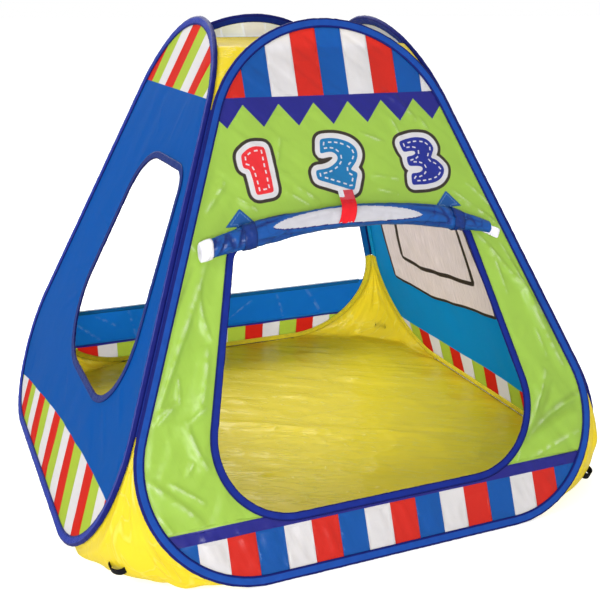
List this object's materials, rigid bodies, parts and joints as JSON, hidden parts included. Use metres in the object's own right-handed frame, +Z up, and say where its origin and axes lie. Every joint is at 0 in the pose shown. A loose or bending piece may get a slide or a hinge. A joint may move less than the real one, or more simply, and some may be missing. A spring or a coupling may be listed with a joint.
{
  "type": "kids play tent",
  "caption": "Free-standing pop-up play tent with leaning arched walls, a rolled-up door flap, a side window and an open back.",
  "frame": {"origin": "middle of the floor at ground level", "axes": "+Z up, the doorway wall faces -Y, the window wall faces -X"},
  "size_m": [1.2848, 1.2848, 1.05],
  "materials": {
    "lime_polyester": "satin woven",
    "blue_polyester": "satin woven",
    "sleeve_tape": "matte woven",
    "yellow_sheet": "satin woven",
    "white_hook_tape": "matte pile",
    "red_tie_tape": "matte woven",
    "black_webbing": "matte woven",
    "spring_steel": "drawn wire"
  },
  "bodies": {
    "front": {"front_frame_sleeve": "sleeve_tape", "front_frame_wire": "spring_steel", "front_wire_ferrule": "spring_steel", "front_wall": "lime_polyester", "doorway_binding": "sleeve_tape", "front_left_seam": "sleeve_tape", "front_right_seam": "sleeve_tape", "ground_sheet": "yellow_sheet", "roof_sheet": "yellow_sheet", "wall_closure_patch": "white_hook_tape", "peg_loop_front_left": "black_webbing", "peg_loop_front_right": "black_webbing"},
    "left_side": {"left_frame_sleeve": "sleeve_tape", "left_frame_wire": "spring_steel", "left_wire_ferrule": "spring_steel", "left_wall": "blue_polyester", "window_binding": "sleeve_tape", "back_left_seam": "sleeve_tape", "peg_loop_back_left": "black_webbing"},
    "right_side": {"right_frame_sleeve": "sleeve_tape", "right_frame_wire": "spring_steel", "right_wire_ferrule": "spring_steel", "right_wall": "blue_polyester", "back_right_seam": "sleeve_tape", "peg_loop_back_right": "black_webbing"},
    "back": {"back_frame_sleeve": "sleeve_tape", "back_frame_wire": "spring_steel", "back_wire_ferrule": "spring_steel", "back_lower_wall": "blue_polyester", "back_top_wall": "blue_polyester", "back_lower_hem": "sleeve_tape", "back_top_hem": "sleeve_tape"},
    "door_flap": {"door_flap_roll": "blue_polyester", "flap_closure_ring": "white_hook_tape", "flap_strap_left": "blue_polyester", "flap_strap_right": "blue_polyester", "strap_tab_left": "blue_polyester", "strap_tab_right": "blue_polyester"},
    "tie": {"flap_tie": "red_tie_tape"}
  },
  "joints": [
    {"name": "left_fold", "type": "hinge", "parent": "front", "child": "left_side", "pos_m": [-0.5109, -0.5109, 0.29914], "axis": [0.3574, 0.3574, 0.8629], "range_deg": [0, 80], "deforming": ["ground_sheet", "roof_sheet"]},
    {"name": "right_fold", "type": "hinge", "parent": "front", "child": "right_side", "pos_m": [0.5109, -0.5109, 0.29914], "axis": [-0.3574, 0.3574, 0.8629], "range_deg": [0, 80]},
    {"name": "back_fold", "type": "hinge", "parent": "left_side", "child": "back", "pos_m": [-0.5109, 0.5109, 0.29914], "axis": [-0.3574, 0.3574, -0.8629], "range_deg": [0, 80]},
    {"name": "flap_drop", "type": "hinge", "parent": "front", "child": "door_flap", "pos_m": [0, -0.39884, 0.58743], "axis": [1, 0, 0], "range_deg": [0, 55]},
    {"name": "tie_release", "type": "hinge", "parent": "front", "child": "tie", "pos_m": [0, -0.34586, 0.71377], "axis": [-1, 0, 0], "range_deg": [0, 110]}
  ],
  "couplings": [
    {"joint": "right_fold", "follows": "left_fold", "ratio": 1},
    {"joint": "back_fold", "follows": "left_fold", "ratio": 1},
    {"joint": "tie_release", "follows": "flap_drop", "ratio": 2}
  ]
}
